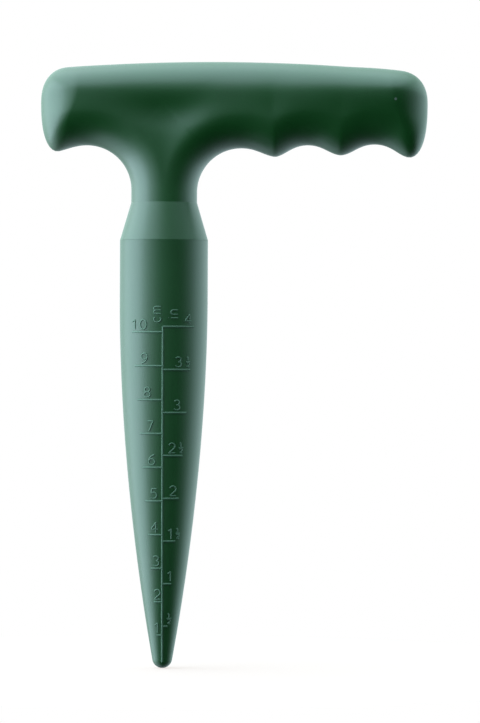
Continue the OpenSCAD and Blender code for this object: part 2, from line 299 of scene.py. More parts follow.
specks, given, result = new_group(
    "rare_specks",
    "ShaderNodeTree",
    {"Vector": ("Vector", None), "Spacing": ("Float", 0.009), "Size": ("Float", 0.0004)},
    {"Mask": "Float"},
)
per_metre = calc(specks, "DIVIDE", 1.0, given["Spacing"])
cells = add_node(specks, "ShaderNodeTexVoronoi", {"Vector": given["Vector"], "Scale": per_metre})
reach = calc(specks, "MULTIPLY", given["Size"], per_metre)
lucky = add_node(specks, "ShaderNodeSeparateColor", {0: cells.outputs["Color"]}).outputs[0]
size = calc(specks, "MULTIPLY", reach, calc(specks, "GREATER_THAN", lucky, BARE_CELLS))
specks.links.new(calc(specks, "LESS_THAN", cells.outputs["Distance"], size), result.inputs["Mask"])
print(specks.name, "nodes:", len(specks.nodes))

# %% Green plastic
GRAIN_BUMP = 0.08
GRAIN_DEPTH = 0.2 * MM
SHEEN_TINT = (0.84, 0.94, 1.0, 1)


def green_plastic(name, colour, roughness, speck_colour):
    made = bpy.data.materials.new(name)
    made.use_nodes = True
    tree = made.node_tree
    tree.nodes.clear()
    here = add_node(tree, "ShaderNodeTexCoord").outputs["Object"]
    surface = place_group(tree, grain, {"Vector": here, "Roughness": roughness})
    mask = place_group(tree, specks, {"Vector": here})["Mask"]
    toned = add_node(tree, "ShaderNodeVectorMath", {0: colour, 1: surface["Tone"]}, operation="MULTIPLY")
    # Sockets 6 and 7 of a Mix node are its two colours, and output 2 is the mixed one
    mixed = add_node(
        tree, "ShaderNodeMix", {"Factor": mask, 6: toned.outputs[0], 7: (*speck_colour, 1)}, data_type="RGBA"
    )
    bump = add_node(
        tree,
        "ShaderNodeBump",
        {"Strength": GRAIN_BUMP, "Distance": GRAIN_DEPTH, "Height": surface["Height"]},
    )
    shader = add_node(
        tree,
        "ShaderNodeBsdfPrincipled",
        {
            "Base Color": mixed.outputs[2],
            "Roughness": surface["Roughness"],
            "Normal": bump.outputs[0],
            "IOR": 1.5,
            "Specular IOR Level": 1.0,
            "Specular Tint": SHEEN_TINT,
        },
    )
    add_node(tree, "ShaderNodeOutputMaterial", {"Surface": shader.outputs[0]})
    return made


SPECK = (0.12, 0.18, 0.15)
spike_plastic = green_plastic("satin_green_spike", (0.0015, 0.06, 0.007), 0.4, SPECK)
grip_plastic = green_plastic("satin_green_grip", (0.001, 0.062, 0.006), 0.38, SPECK)
# The ridges are given a paler green than the spike: a painted highlight for the light that catches the raised
# lines.
ridge_highlight_plastic = green_plastic("scuffed_green_ridge", (0.035, 0.12, 0.06), 0.5, SPECK)
print("materials:", [m.name for m in bpy.data.materials if m.name.startswith(("satin", "painted_highlight"))])

# %% [markdown]
# ## Spike
#
# The spike is turned: its radius follows one rule over its height, a round tip that runs into a full
# curve and then a straight shank. A profile could be drawn and spun, but the raised scale has to lie on the
# same surface, so the rule itself is made a Geometry Nodes group. One tree uses it to shape a grid into
# the spike, and the trees of the scale use it to lay their lines on it.

# %% Radius of the spike at a height
SPIKE_H = 127.4
SHANK_R = 13.1
SPIKE = {
    "Height": SPIKE_H * MM,
    "Shank Radius": SHANK_R * MM,
    "Point Height": 109.5 * MM,
    "Fullness": 1.87,
    "Tip Radius": 3 * MM,
}
SPIKE_SIZES = {label: ("Float", value) for label, value in SPIKE.items()}
RULE_SIZES = {label: size for label, size in SPIKE_SIZES.items() if label != "Height"}

radius_rule, given, result = new_group(
    "spike_radius", "GeometryNodeTree", {"At": ("Float", 0.0), **RULE_SIZES}, {"Radius": "Float"}
)
t = radius_rule
shank, tip, top = given["Shank Radius"], given["Tip Radius"], given["Point Height"]
slope = calc(t, "DIVIDE", calc(t, "SUBTRACT", shank, tip), calc(t, "SUBTRACT", top, tip))
lean = calc(t, "ARCTANGENT", calc(t, "MULTIPLY", slope, given["Fullness"]))
edge_r = calc(t, "MULTIPLY", tip, calc(t, "COSINE", lean))
edge_z = calc(t, "MULTIPLY", tip, calc(t, "SUBTRACT", 1.0, calc(t, "SINE", lean)))
from_top = calc(t, "MAXIMUM", calc(t, "SUBTRACT", top, given["At"]), 0.0)
share = calc(t, "DIVIDE", from_top, calc(t, "SUBTRACT", top, edge_z))
drop = calc(t, "MULTIPLY", calc(t, "SUBTRACT", shank, edge_r), calc(t, "POWER", share, given["Fullness"]))
below = calc(t, "SUBTRACT", tip, given["At"])
squared = calc(t, "SUBTRACT", calc(t, "MULTIPLY", tip, tip), calc(t, "MULTIPLY", below, below))
ball = calc(t, "SQRT", calc(t, "MAXIMUM", squared, 0.0))
in_tip = calc(t, "LESS_THAN", given["At"], edge_z)
chosen = add_node(
    t, "GeometryNodeSwitch", {0: in_tip, 1: calc(t, "SUBTRACT", shank, drop), 2: ball}, input_type="FLOAT"
)
t.links.new(chosen.outputs[0], result.inputs["Radius"])
print(radius_rule.name, "nodes:", len(radius_rule.nodes))

# %% Bend a flat grid round the axis
turned, given, result = new_group(
    "turned_wall",
    "GeometryNodeTree",
    {"Sides": ("Int", 160), "Rows": ("Int", 1)},
    {"Mesh": "Geometry", "Share": "Float", "Cosine": "Float", "Sine": "Float"},
)
t = turned
sheet = add_node(
    t,
    "GeometryNodeMeshGrid",
    {
        "Size X": 1.0,
        "Size Y": 1.0,
        "Vertices X": calc(t, "ADD", given["Sides"], 1.0),
        "Vertices Y": calc(t, "ADD", given["Rows"], 1.0),
    },
)
flat = add_node(t, "ShaderNodeSeparateXYZ", {0: t.nodes.new("GeometryNodeInputPosition").outputs[0]}).outputs
turn = calc(t, "MULTIPLY", flat["X"], 2 * math.pi)
t.links.new(sheet.outputs["Mesh"], result.inputs["Mesh"])
t.links.new(calc(t, "ADD", flat["Y"], 0.5), result.inputs["Share"])
t.links.new(calc(t, "COSINE", turn), result.inputs["Cosine"])
t.links.new(calc(t, "SINE", turn), result.inputs["Sine"])
print(turned.name, "nodes:", len(turned.nodes))


def wrap_grid(tree, wall, radius, height):
    """Move a flat grid's points to a radius and a height round the axis."""
    x = calc(tree, "MULTIPLY", radius, wall["Cosine"])
    y = calc(tree, "MULTIPLY", radius, wall["Sine"])
    place = add_node(tree, "ShaderNodeCombineXYZ", {0: x, 1: y, 2: height})
    return add_node(
        tree, "GeometryNodeSetPosition", {"Geometry": wall["Mesh"], "Position": place.outputs[0]}
    ).outputs[0]


# %% The spike's outside and hollow
TIP_CROWDING = 1.6  # above 1, the rows crowd towards the tip
HOLLOW_ROWS = 40

spike_tree, given, result = new_group(
    "turned_spike",
    "GeometryNodeTree",
    {
        **SPIKE_SIZES,
        "Wall": ("Float", 2.6 * MM),
        "Solid Tip": ("Float", 26 * MM),
        "Edge": ("Float", 0.05 * MM),
        "Sides": ("Int", 160),
        "Rows": ("Int", 180),
        "Plastic": ("Material", None),
    },
    {"Geometry": "Geometry"},
)
t = spike_tree
rule = {label: given[label] for label in RULE_SIZES}
rim = calc(t, "SUBTRACT", given["Height"], given["Edge"])
wall = place_group(t, turned, {"Sides": given["Sides"], "Rows": given["Rows"]})
height = calc(t, "MULTIPLY", rim, calc(t, "POWER", wall["Share"], TIP_CROWDING))
outside = wrap_grid(t, wall, place_group(t, radius_rule, {"At": height, **rule})["Radius"], height)

bore = calc(t, "SUBTRACT", given["Shank Radius"], given["Wall"])
wall = place_group(t, turned, {"Sides": given["Sides"], "Rows": HOLLOW_ROWS})
inner_h = calc(t, "SUBTRACT", given["Height"], given["Solid Tip"])
height = calc(t, "MULTIPLY_ADD", calc(t, "SUBTRACT", 1.0, wall["Share"]), inner_h, given["Solid Tip"])
inner_r = calc(t, "SUBTRACT", place_group(t, radius_rule, {"At": height, **rule})["Radius"], given["Wall"])
inside = wrap_grid(t, wall, calc(t, "MINIMUM", inner_r, bore), height)
print(spike_tree.name, "nodes so far:", len(t.nodes))

# %% The spike's rim and the floor of its hollow
wall = place_group(t, turned, {"Sides": given["Sides"], "Rows": 1})
edge_r = calc(t, "SUBTRACT", given["Shank Radius"], calc(t, "MULTIPLY", wall["Share"], given["Edge"]))
bevel = wrap_grid(t, wall, edge_r, calc(t, "MULTIPLY_ADD", wall["Share"], given["Edge"], rim))
wall = place_group(t, turned, {"Sides": given["Sides"], "Rows": 1})
lip_w = calc(t, "SUBTRACT", given["Wall"], given["Edge"])
lip_r = calc(t, "MULTIPLY_ADD", calc(t, "SUBTRACT", 1.0, wall["Share"]), lip_w, bore)
lip = wrap_grid(t, wall, lip_r, given["Height"])
wall = place_group(t, turned, {"Sides": given["Sides"], "Rows": 1})
floor_r = place_group(t, radius_rule, {"At": given["Solid Tip"], **rule})["Radius"]
floor_r = calc(t, "SUBTRACT", floor_r, given["Wall"])
base = wrap_grid(
    t, wall, calc(t, "MULTIPLY", floor_r, calc(t, "SUBTRACT", 1.0, wall["Share"])), given["Solid Tip"]
)
print(spike_tree.name, "nodes so far:", len(t.nodes))

# %% Close, smooth and paint the spike
MERGE_NEAR = 0.002 * MM
SHARP_BEND = 0.35  # radians

joined = t.nodes.new("GeometryNodeJoinGeometry")
for skin in (base, inside, lip, bevel, outside):
    t.links.new(skin, joined.inputs[0])
closed = add_node(t, "GeometryNodeMergeByDistance", {"Geometry": joined.outputs[0], "Distance": MERGE_NEAR})
smooth = add_node(t, "GeometryNodeSetShadeSmooth", {"Geometry": closed.outputs[0]}, domain="FACE")
bend = t.nodes.new("GeometryNodeInputMeshEdgeAngle").outputs[0]
bent = calc(t, "GREATER_THAN", bend, SHARP_BEND)
sharp = add_node(
    t,
    "GeometryNodeSetShadeSmooth",
    {"Geometry": smooth.outputs[0], "Selection": bent, "Shade Smooth": False},
    domain="EDGE",
)
real = add_node(t, "GeometryNodeRealizeInstances", {0: sharp.outputs[0]})
painted = add_node(t, "GeometryNodeSetMaterial", {"Geometry": real.outputs[0], "Material": given["Plastic"]})
t.links.new(painted.outputs[0], result.inputs["Geometry"])
print(spike_tree.name, "nodes:", len(t.nodes))


# %% Run a tree and keep its mesh
def grown(name, tree, values, start=None):
    """Run a tree on a maker object and return its result as a plain mesh object at the origin."""
    maker = bpy.data.objects.new(name + "_maker", start or bpy.data.meshes.new(name + "_maker"))
    scene.collection.objects.link(maker)
    modifier = maker.modifiers.new("rule", "NODES")
    modifier.node_group = tree
    for item in tree.interface.items_tree:
        if item.in_out == "INPUT" and item.name in values:
            modifier[item.identifier] = values[item.name]
    bpy.context.view_layer.update()
    depsgraph = bpy.context.evaluated_depsgraph_get()
    mesh = bpy.data.meshes.new_from_object(maker.evaluated_get(depsgraph), depsgraph=depsgraph)
    bpy.data.objects.remove(maker)
    mesh.name = name
    piece = bpy.data.objects.new(name, mesh)
    scene.collection.objects.link(piece)
    print(name, "faces:", len(mesh.polygons))
    return piece


spike_body = grown("spike_body", spike_tree, {**SPIKE, "Plastic": spike_plastic})

# %% [markdown]
# ## Depth scale
#
# The scale is moulded in relief: a line up the front, centimetre marks to the left of it and half-inch
# marks to the right, each longer than the one below. Seen from the front all of them are straight, so they
# are drawn flat and pushed straight back onto the spike with its own radius rule, then given a round
# section that is sunk to about its middle, so only a low ridge stands out.

# %% Lay flat lines on the spike
LINE_STEP = 0.3 * MM
LINE_SIDES = 10

raised, given, result = new_group(
    "raised_on_spike",
    "GeometryNodeTree",
    {
        "Lines": ("Geometry", None),
        "Line Radius": ("Float", 0.3 * MM),
        "Sunk": ("Float", 0.05 * MM),
        **RULE_SIZES,
    },
    {"Mesh": "Geometry"},
)
t = raised
rule = {label: given[label] for label in RULE_SIZES}
dense = add_node(
    t, "GeometryNodeResampleCurve", {"Curve": given["Lines"], "Length": LINE_STEP}, mode="LENGTH"
)
spot = add_node(t, "ShaderNodeSeparateXYZ", {0: t.nodes.new("GeometryNodeInputPosition").outputs[0]}).outputs
radius = place_group(t, radius_rule, {"At": spot["Z"], **rule})["Radius"]
depth = calc(t, "SUBTRACT", calc(t, "MULTIPLY", radius, radius), calc(t, "MULTIPLY", spot["X"], spot["X"]))
front = calc(t, "SUBTRACT", given["Sunk"], calc(t, "SQRT", calc(t, "MAXIMUM", depth, 0.0)))
place = add_node(t, "ShaderNodeCombineXYZ", {0: spot["X"], 1: front, 2: spot["Z"]})
laid = add_node(t, "GeometryNodeSetPosition", {"Geometry": dense.outputs[0], "Position": place.outputs[0]})
section = add_node(
    t,
    "GeometryNodeCurvePrimitiveCircle",
    {"Resolution": LINE_SIDES, "Radius": given["Line Radius"]},
)
tube = add_node(
    t,
    "GeometryNodeCurveToMesh",
    {"Curve": laid.outputs[0], "Profile Curve": section.outputs[0], "Fill Caps": True},
)
smooth = add_node(t, "GeometryNodeSetShadeSmooth", {"Geometry": tube.outputs[0]})
t.links.new(smooth.outputs[0], result.inputs["Mesh"])
print(raised.name, "nodes:", len(t.nodes))

# %% A row of marks that grow upwards
CM_MARKS = 10
CM_STEP = 10
INCH_MARKS = 8
INCH_STEP = 12.7
SHORTEST = 1.6
LONGEST = 9

mark_row, given, result = new_group(
    "mark_row",
    "GeometryNodeTree",
    {
        "Count": ("Int", CM_MARKS),
        "Step": ("Float", CM_STEP * MM),
        "Shortest": ("Float", SHORTEST * MM),
        "Longest": ("Float", LONGEST * MM),
        "Side": ("Float", 1.0),
    },
    {"Lines": "Geometry"},
)
t = mark_row
rise = add_node(t, "ShaderNodeCombineXYZ", {2: given["Step"]}).outputs[0]
rows = add_node(
    t,
    "GeometryNodeMeshLine",
    {"Count": given["Count"], "Start Location": rise, "Offset": rise},
    mode="OFFSET",
)
number = t.nodes.new("GeometryNodeInputIndex").outputs[0]
share = calc(t, "DIVIDE", number, calc(t, "SUBTRACT", given["Count"], 1.0))
growth = calc(t, "SUBTRACT", given["Longest"], given["Shortest"])
length = calc(t, "MULTIPLY_ADD", share, growth, given["Shortest"])
stretch = add_node(t, "ShaderNodeCombineXYZ", {0: calc(t, "MULTIPLY", length, given["Side"]), 1: 1.0, 2: 1.0})
line = add_node(t, "GeometryNodeCurvePrimitiveLine", {"Start": (0, 0, 0), "End": (1, 0, 0)})
marks = add_node(
    t,
    "GeometryNodeInstanceOnPoints",
    {"Points": rows.outputs[0], "Instance": line.outputs[0], "Scale": stretch.outputs[0]},
)
real = add_node(t, "GeometryNodeRealizeInstances", {0: marks.outputs[0]})
t.links.new(real.outputs[0], result.inputs["Lines"])
print(mark_row.name, "nodes:", len(t.nodes))

# %% The scale's tree
scale_tree, given, result = new_group(
    "depth_scale",
    "GeometryNodeTree",
    {
        "Metric Count": ("Int", CM_MARKS),
        "Metric Step": ("Float", CM_STEP * MM),
        "Inch Count": ("Int", INCH_MARKS),
        "Inch Step": ("Float", INCH_STEP * MM),
        "Shortest": ("Float", SHORTEST * MM),
        "Longest": ("Float", LONGEST * MM),
        "Foot": ("Float", 2 * MM),
        "Line Radius": ("Float", 0.3 * MM),
        **RULE_SIZES,
        "Plastic": ("Material", None),
    },
    {"Geometry": "Geometry"},
)
t = scale_tree
lengths = {"Shortest": given["Shortest"], "Longest": given["Longest"]}
metric = place_group(
    t, mark_row, {"Count": given["Metric Count"], "Step": given["Metric Step"], "Side": -1.0, **lengths}
)
inches = place_group(
    t, mark_row, {"Count": given["Inch Count"], "Step": given["Inch Step"], "Side": 1.0, **lengths}
)
head = calc(t, "MULTIPLY", given["Inch Count"], given["Inch Step"])
spine = add_node(
    t,
    "GeometryNodeCurvePrimitiveLine",
    {
        "Start": add_node(t, "ShaderNodeCombineXYZ", {2: given["Foot"]}).outputs[0],
        "End": add_node(t, "ShaderNodeCombineXYZ", {2: head}).outputs[0],
    },
)
joined = t.nodes.new("GeometryNodeJoinGeometry")
for part in (spine.outputs[0], inches["Lines"], metric["Lines"]):
    t.links.new(part, joined.inputs[0])
rule = {label: given[label] for label in RULE_SIZES}
ridges = place_group(t, raised, {"Lines": joined.outputs[0], "Line Radius": given["Line Radius"], **rule})
real = add_node(t, "GeometryNodeRealizeInstances", {0: ridges["Mesh"]})
painted = add_node(t, "GeometryNodeSetMaterial", {"Geometry": real.outputs[0], "Material": given["Plastic"]})
t.links.new(painted.outputs[0], result.inputs["Geometry"])
# The marks wear the paler ridge plastic, whose colour is a painted highlight.
depth_marks = grown("depth_marks", scale_tree, {"Plastic": ridge_highlight_plastic})

# %% [markdown]
# ## Numerals
#
# The numerals are single raised strokes, as an engraver cuts them into a mould. A font would give filled
# outlines, so each figure is drawn here from a few lines and arcs in a box one unit high. The strokes
# become one flat curve object, and the group that lays the marks on the spike lays them too.

# %% Figures from lines and arcs
ARC_STEP = 15
FIGURE_WIDTH = 0.62
FIGURE_GAP = 0.24


def arc(x, z, rx, rz, start, end):
    turns = np.radians(np.linspace(start, end, 2 + int(abs(end - start) / ARC_STEP)))
    return [(x + rx * math.cos(a), z + rz * math.sin(a)) for a in turns]


SIX = arc(0.62, 0.33, 0.61, 0.67, 95, 180) + arc(0.31, 0.31, 0.3, 0.31, 180, -180)
FIGURES = {
    "0": [arc(0.31, 0.5, 0.31, 0.5, 90, 450)],
    "1": [[(0.06, 0.76), (0.31, 1), (0.31, 0)]],
    "2": [arc(0.31, 0.7, 0.3, 0.3, 165, -35) + [(0.02, 0), (0.62, 0)]],
    "3": [arc(0.3, 0.76, 0.27, 0.24, 150, -90) + arc(0.3, 0.26, 0.31, 0.26, 90, -155)],
    "4": [[(0.46, 0), (0.46, 1), (0, 0.3), (0.64, 0.3)]],
    "5": [[(0.58, 1), (0.12, 1), (0.06, 0.52)] + arc(0.3, 0.32, 0.31, 0.32, 140, -150)],
    "6": [SIX],
    "7": [[(0, 1), (0.6, 1), (0.2, 0)]],
    "8": [arc(0.31, 0.76, 0.26, 0.24, -90, 270), arc(0.31, 0.26, 0.31, 0.26, 90, 450)],
    "9": [[(FIGURE_WIDTH - x, 1 - z) for x, z in SIX]],
    "c": [arc(0.32, 0.35, 0.3, 0.35, 45, 315)],
    "m": [
        [(0.02, 0), (0.02, 0.7)],
        arc(0.2, 0.5, 0.18, 0.2, 180, 0) + [(0.38, 0)],
        arc(0.56, 0.5, 0.18, 0.2, 180, 0) + [(0.74, 0)],
    ],
    "i": [[(0.1, 0), (0.1, 0.7)], [(0.1, 0.92), (0.1, 0.96)]],
    "n": [[(0.02, 0), (0.02, 0.7)], arc(0.24, 0.46, 0.22, 0.24, 180, 0) + [(0.46, 0)]],
}
WIDTHS = {"i": 0.2, "m": 0.76, "n": 0.48}
print("figures:", "".join(FIGURES))

# %% Short texts from figures
HALF_SIZE = 0.44
HALF_BAR = 0.52
HALF_TOP = 0.62


def text_strokes(text, middle, foot, tall):
    """Strokes of a short text in millimetres, centred on middle and standing on foot."""
    wide = sum(WIDTHS.get(c, FIGURE_WIDTH) for c in text) + FIGURE_GAP * (len(text) - 1)
    left, strokes = -wide / 2, []
    for c in text:
        strokes += [[(middle + tall * (left + x), foot + tall * z) for x, z in s] for s in FIGURES[c]]
        left += WIDTHS.get(c, FIGURE_WIDTH) + FIGURE_GAP
    return strokes


def half_strokes(middle, foot, tall):
    """A one over a two with a bar between them."""
    small, level = HALF_SIZE * tall, foot + HALF_BAR * tall
    bar = [[(middle - 0.5 * small, level), (middle + 0.5 * small, level)]]
    one = text_strokes("1", middle, foot + HALF_TOP * tall, small)
    return one + bar + text_strokes("2", middle, foot, small)


print("strokes of a half:", len(half_strokes(0, 0, 1)))

# %% Place the numerals, in millimetres
TALL = 2.9
ABOVE_MARK = 0.8
# Middles of the figures to the side of the axis, and of each half beside its figure
METRIC_AT = [-1.3, -1.4, -1.8, -2.3, -2.5, -3.1, -3.6, -4.5, -5.4, -7.0]
INCH_AT = [2.0, 2.4, 2.6, 3.1, 2.8, 4.2, 4.6, 7.4]
HALF_AFTER = [0, 0, 1.9, 0, 2.6, 0, 2.8, 0]
UNITS = (("cm", -0.6), ("in", 4.4))
UNITS_Z = 105.2

strokes = []
for i, x in enumerate(METRIC_AT):
    strokes += text_strokes(str(i + 1), x, CM_STEP * (i + 1) + ABOVE_MARK, TALL)
for i, x in enumerate(INCH_AT):
    foot = INCH_STEP * (i + 1) + ABOVE_MARK
    if i:
        strokes += text_strokes(str((i + 1) // 2), x, foot, TALL)
    if i % 2 == 0:
        strokes += half_strokes(x + HALF_AFTER[i], foot, TALL)
# The unit signs are turned a quarter and read upwards
for text, right in UNITS:
    upright = text_strokes(text, UNITS_Z, 0, TALL)
    strokes += [[(right - z, x) for x, z in s] for s in upright]

flat_lines = bpy.data.curves.new("numeral_lines", "CURVE")
flat_lines.dimensions = "3D"
for s in strokes:
    spline = flat_lines.splines.new("POLY")
    spline.points.add(len(s) - 1)
    for point, (x, z) in zip(spline.points, s):
        point.co = (x * MM, 0, z * MM, 1)
print("strokes:", len(strokes))

# %% Raise the numerals
numeral_tree, given, result = new_group(
    "raised_numerals",
    "GeometryNodeTree",
    {
        "Lines": ("Geometry", None),
        "Line Radius": ("Float", 0.22 * MM),
        "Sunk": ("Float", 0.02 * MM),
        **RULE_SIZES,
        "Plastic": ("Material", None),
    },
    {"Geometry": "Geometry"},
)
t = numeral_tree
same = {label: given[label] for label in ("Lines", "Line Radius", "Sunk", *RULE_SIZES)}
real = add_node(t, "GeometryNodeRealizeInstances", {0: place_group(t, raised, same)["Mesh"]})
painted = add_node(t, "GeometryNodeSetMaterial", {"Geometry": real.outputs[0], "Material": given["Plastic"]})
t.links.new(painted.outputs[0], result.inputs["Geometry"])
# The numerals wear the paler ridge plastic, whose colour is a painted highlight.
depth_numerals = grown("depth_numerals", numeral_tree, {"Plastic": ridge_highlight_plastic}, flat_lines)

# %% [markdown]
# ## Grip
#
# The grip is hollow and made of two rolls that run into each other. The upper roll follows the arched top.
# The lower one follows the outline at the distance of the neck's radius: up the neck, round the fillets
# and over each finger hollow, so it forks where the neck meets the arms. Rather than lofting it from drawn
# curves, it is described by one formula that is negative inside, with rounded minima where forms meet.
# Rays from the middle of the grip then find the surface, rib by rib round the outline, which gives an even
# mesh with the mould's parting plane exactly on its rim.

# %% Sizes of the grip in millimetres
NECK_H = 28.2  # from the spike's rim to the underside of the short arm
NECK_R = 9.8
FLARE_H = 11.2  # the cone between spike and neck
NECK_FILLET = 13.2
SHORT = 36.8  # reach of each arm from the axis
LONG = 78.4
GRIP_H = 25
HALF_DEPTH = 9.8
TOP_H = 17.8  # the upper roll
CROWN_X = 16.5  # highest point and radius of the arched top
CROWN_R = 580
ROUND_TOP = 8.2  # rounding of the ends, above and below the level END_AT of the height
ROUND_LOW = 5.8
END_AT = 0.42
END_PLAN = 1.4  # how much longer the rounding is from above
FINGERS = 3
FINGER_R = 10.4
FINGER_DEPTH = 3.2
FINGER_DROP = 0.7  # long arm's underside below the short one's
FINGER_RISE = 1.3  # last hollow above the first
FINGER_END = 7.2  # half depth of the lower roll at the long end
LONG_LIP = 0.6
SHORT_LIP = 2.1
GRIP_WALL = 2.4
LAP_H = 1.2  # the tongue along the rim and the gap round it
LAP_FIT = 0.1
RIM_EDGE = 0.05
print("arms:", SHORT, "and", LONG, "mm")

# %% How forms round and meet
FORK_SOFT = 15  # over how many millimetres two forms blend
FORK_REACH = 1.75  # height over which the fork grows, in neck fillets
WAIST_SOFT = 5
CREST_SOFT = 2.3
RIDGE_SOFT = 0.8
TOP_EDGE = 1.8  # powers of ovals: 2 is round, less is crisper, more is squarer
ROLL_EDGE = 1.75
END_SQUARE = 2.4

UNDER_Z, FLARE_Z = SPIKE_H + NECK_H, SPIKE_H + FLARE_H
LONG_UNDER_Z = UNDER_Z - FINGER_DROP
CROWN_Z, MID_Z = UNDER_Z + GRIP_H, UNDER_Z + GRIP_H / 2
TOP_Z, END_Z = CROWN_Z - TOP_H / 2, UNDER_Z + END_AT * GRIP_H
FILLET_X, FILLET_Z = NECK_R + NECK_FILLET, UNDER_Z - NECK_FILLET
FINGER_PITCH = (LONG - ROUND_LOW - FILLET_X) / (FINGERS - 0.5)
print("grip:", LONG + SHORT, "x", 2 * HALF_DEPTH, "x", GRIP_H, "mm")
print("finger hollows:", round(FINGER_PITCH, 1), "mm apart")

# %% The outline from below
TINY = 1e-6


def eased(t):
    """A smooth step from 0 to 1."""
    c = np.clip(t, 0, 1)
    return c * c * (3 - 2 * c)


def soft_min(a, b, k):
    """The smaller of two values, rounded where they are closer than k."""
    return np.minimum(a, b) - np.maximum(k - np.abs(a - b), 0) ** 2 / (4 * k)


def neck_at(z, flared):
    """Radius of the neck, which widens to the shank below if it is flared."""
    return NECK_R + flared * (SHANK_R - NECK_R) * np.clip((FLARE_Z - z) / FLARE_H, 0, 1)


def side_depth(x, z, low_z, flared):
    round_part = np.hypot(x - FILLET_X, z - low_z) - NECK_FILLET
    return np.where(z < low_z, neck_at(z, flared) - x, round_part)


def finger_lift(n):
    t = n / (FINGERS - 1)
    return FINGER_RISE * t * (2 - t)


def cut_depth(x, z, n):
    r = np.where(n == 0, NECK_FILLET, FINGER_R)
    return np.hypot(x - FILLET_X - FINGER_PITCH * n, z - LONG_UNDER_Z - finger_lift(n) + r) - r


def outline_depth(x, z, flared):
    """How deep a point of the middle plane lies inside the neck and the undersides of the arms."""
    n = (x - FILLET_X) / FINGER_PITCH
    i = np.clip(np.floor(n), 0, FINGERS - 2)
    cuts = soft_min(cut_depth(x, z, i), cut_depth(x, z, i + 1), RIDGE_SOFT)
    lip = LONG_LIP * eased(2 * (n - FINGERS + 1))
    flat_z = LONG_UNDER_Z + finger_lift(np.minimum(n, FINGERS - 0.5)) - FINGER_DEPTH - lip
    long_arm = soft_min(cuts, z - flat_z, CREST_SOFT)
    short_side = side_depth(-x, z, FILLET_Z, flared)
    short_arm = soft_min(short_side, z - UNDER_Z + SHORT_LIP, CREST_SOFT)
    fork = TINY + FORK_SOFT * eased((z - FILLET_Z) / (FORK_REACH * NECK_FILLET))
    middle = soft_min(side_depth(x, z, FILLET_Z - FINGER_DROP, flared), short_side, fork)
    return np.where(x > FILLET_X, long_arm, np.where(x < -FILLET_X, short_arm, middle))


cone = [round(float(neck_at(z, True)), 2) for z in (SPIKE_H, FLARE_Z)]
print("cone narrows from", cone[0], "to", cone[1], "mm radius")

# %% The two rolls and the ends
LEAST_SHARE = 0.001


def oval_gap(a, b, m, n, power):
    size = ((np.abs(a) / m) ** power + (np.abs(b) / n) ** power) ** (1 / power)
    return np.hypot(a, b) * (1 - 1 / np.maximum(size, TINY))


def section_gap(x, y, z, inset):
    flared = inset == 0
    up = z - TOP_Z
    above = CROWN_Z - (x - CROWN_X) ** 2 / (2 * CROWN_R) - TOP_Z
    top = oval_gap(y, up, HALF_DEPTH - inset, np.where(up > 0, above, TOP_H / 2) - inset, TOP_EDGE)
    neck = neck_at(z, flared)
    out = neck - outline_depth(x, z, flared)
    far = np.abs(x) - FILLET_X
    deep = neck + (FINGER_END - NECK_R) * eased(far / (LONG - FILLET_X))
    power = 2 + (ROLL_EDGE - 2) * eased((z - FILLET_Z) / NECK_FILLET)
    roll = oval_gap(y, out, deep - inset, np.where(out > 0, neck, NECK_R) - inset, power)
    return soft_min(top, roll, WAIST_SOFT)


def end_share(x, length, inset, power):
    past = np.maximum(0, np.maximum(x - LONG + length, length - SHORT - x)) / (length - inset)
    return (1 - np.minimum(past, 1) ** power) ** (1 / power)


def grip_gap(x, y, z, inset):
    """Negative inside the grip, or inside its hollow. Towards an end the section shrinks to the spine."""
    end_l = ROUND_LOW + (ROUND_TOP - ROUND_LOW) * eased((z - END_Z) / (GRIP_H / 2) + 0.5)
    tall = end_share(x, end_l, inset, END_SQUARE)
    deep = end_share(x, end_l * END_PLAN, inset, ROLL_EDGE)
    least = np.minimum(tall, deep)
    tall, deep = np.maximum(tall, LEAST_SHARE), np.maximum(deep, LEAST_SHARE)
    gap = section_gap(x, y / deep, MID_Z + (z - MID_Z) / tall, inset)
    return np.where(least < LEAST_SHARE, 1, gap)


print("gap at the middle:", round(float(grip_gap(0.0, 0.0, MID_Z, 0)), 2), "mm")

# %% Rays to the surface
HALVINGS = 36
RAY_MARGIN = 1.25


def ray_length(ribs, angles, inset):
    """How far rays run from each rib's root to the surface, or to the hollow that lies inset inside it."""
    flat, out = np.cos(angles), np.sin(angles)
    low = np.zeros((len(ribs), len(angles)))
    high = np.full_like(low, RAY_MARGIN * math.hypot(FILLET_X, MID_Z - FILLET_Z))
    for _ in range(HALVINGS):
        mid = (low + high) / 2
        x = ribs[:, 0:1] + mid * flat * ribs[:, 2:3]
        z = ribs[:, 1:2] + mid * flat * ribs[:, 3:4]
        inside = grip_gap(x, mid * out, z, inset) < 0
        low, high = np.where(inside, mid, low), np.where(inside, high, mid)
    return (low + high) / 2


straight_out = ray_length(np.array([[0, MID_Z, 1, 0]]), np.array([math.pi / 2]), 0)
print("half depth at the waist over the neck:", round(float(straight_out[0, 0]), 2), "mm")

# %% Ribs round the outline
STATION = 0.6  # distance of the ribs along the arms
FAN = 48  # ribs round an end
FILLET_STEPS = 16
FLARE_STEPS = 12
NECK_STEPS = 6


def steps(a, b, n):
    """The ends of n equal steps from a to b."""
    return [a + (b - a) * i / n for i in range(1, n + 1)]


def toward(q, p):
    """A rib: its root q and its direction to the point p."""
    d = math.hypot(p[0] - q[0], p[1] - q[1])
    return (q[0], q[1], (p[0] - q[0]) / d, (p[1] - q[1]) / d)


def fillet_point(a):
    return (FILLET_X - NECK_FILLET * math.cos(a), FILLET_Z + NECK_FILLET * math.sin(a))


def arm_xs(end):
    return steps(FILLET_X, end, math.ceil((end - FILLET_X) / STATION))


